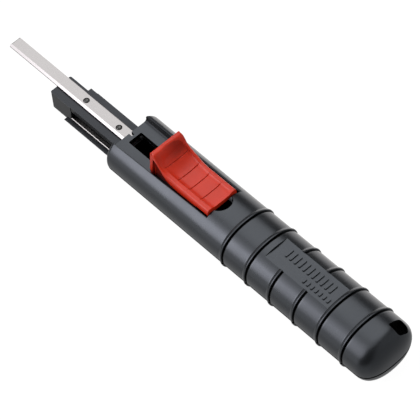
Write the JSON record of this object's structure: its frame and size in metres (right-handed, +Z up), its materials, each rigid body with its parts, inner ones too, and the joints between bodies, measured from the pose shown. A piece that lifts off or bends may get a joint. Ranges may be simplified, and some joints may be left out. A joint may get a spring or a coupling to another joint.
{
  "type": "punch down tool",
  "caption": "Straight ribbed hand tool: a sprung thumb slide drives a carriage with a long flat steel blade over a fixed guide arm, to press wires into punch down contacts.",
  "frame": {"origin": "under the middle of the tool, on the plane that its flat underside rests on", "axes": "+Y along the handle to the blade's tip, +Z up through the thumb button, +X to the right of someone who holds the tool and looks along the blade"},
  "size_m": [0.0292, 0.2194, 0.031],
  "materials": {
    "black_plastic": "charcoal moulded plastic with a fine satin grain",
    "carriage_plastic": "dark glass-filled moulded plastic, slightly rubbed along its edges",
    "red_plastic": "red moulded plastic with a soft sheen",
    "blade_steel": "ground spring steel, brushed along its length",
    "zinc_steel": "zinc plated steel, dull grey",
    "spring_steel": "drawn wire with a light oil film",
    "bumper_rubber": "plain black rubber"
  },
  "bodies": {
    "handle": {"handle_upper_shell": "black_plastic", "handle_lower_shell": "black_plastic", "guide_arm": "carriage_plastic", "guide_liner": "blade_steel", "arm_rivet_front": "zinc_steel", "arm_rivet_rear": "zinc_steel", "case_screw_front_left": "zinc_steel", "case_screw_front_right": "zinc_steel", "case_screw_rear_left": "zinc_steel", "case_screw_rear_right": "zinc_steel", "return_spring": "spring_steel", "stop_bumper": "bumper_rubber"},
    "slide": {"slide_carriage": "carriage_plastic", "steel_blade": "blade_steel", "blade_rivet_front": "zinc_steel", "blade_rivet_rear": "zinc_steel", "thumb_button": "red_plastic", "button_screw_front": "zinc_steel", "button_screw_rear": "zinc_steel", "guide_rod": "blade_steel", "spring_washer": "zinc_steel", "rod_nut": "zinc_steel"}
  },
  "joints": [
    {"name": "thumb_slide", "type": "slide", "parent": "handle", "child": "slide", "axis": [0, 1, 0], "range_m": [0, 0.016], "stiffness_N_per_m": 400, "springref_m": -0.008, "deforming": ["return_spring"]}
  ]
}
